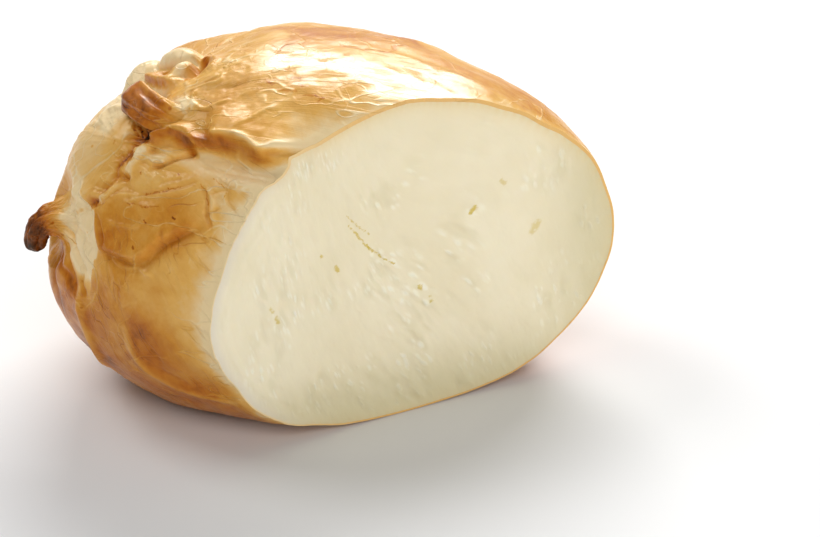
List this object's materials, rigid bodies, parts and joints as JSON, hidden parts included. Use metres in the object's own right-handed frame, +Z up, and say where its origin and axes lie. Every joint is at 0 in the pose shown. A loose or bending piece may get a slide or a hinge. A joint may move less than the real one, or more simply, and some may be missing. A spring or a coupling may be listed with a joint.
{
  "type": "provola cheese",
  "caption": "Cut body of a provola cheese with a smoked, folded rind, a gathered seam, a curled tail, a folded ear and one flat pale cut face.",
  "frame": {"origin": "on the flat resting face, straight below the middle of the uncut body", "axes": "-Y is the outward normal of the cut face, +X runs along the long side with the gathered tail on the -X side, +Z is up"},
  "size_m": [0.1111, 0.0792, 0.0705],
  "materials": {
    "rind": "golden-brown smoked skin with a satin sheen over the outside, ivory moist paste on the cut face"
  },
  "bodies": {
    "root": {"cheese": "rind"}
  },
  "joints": []
}
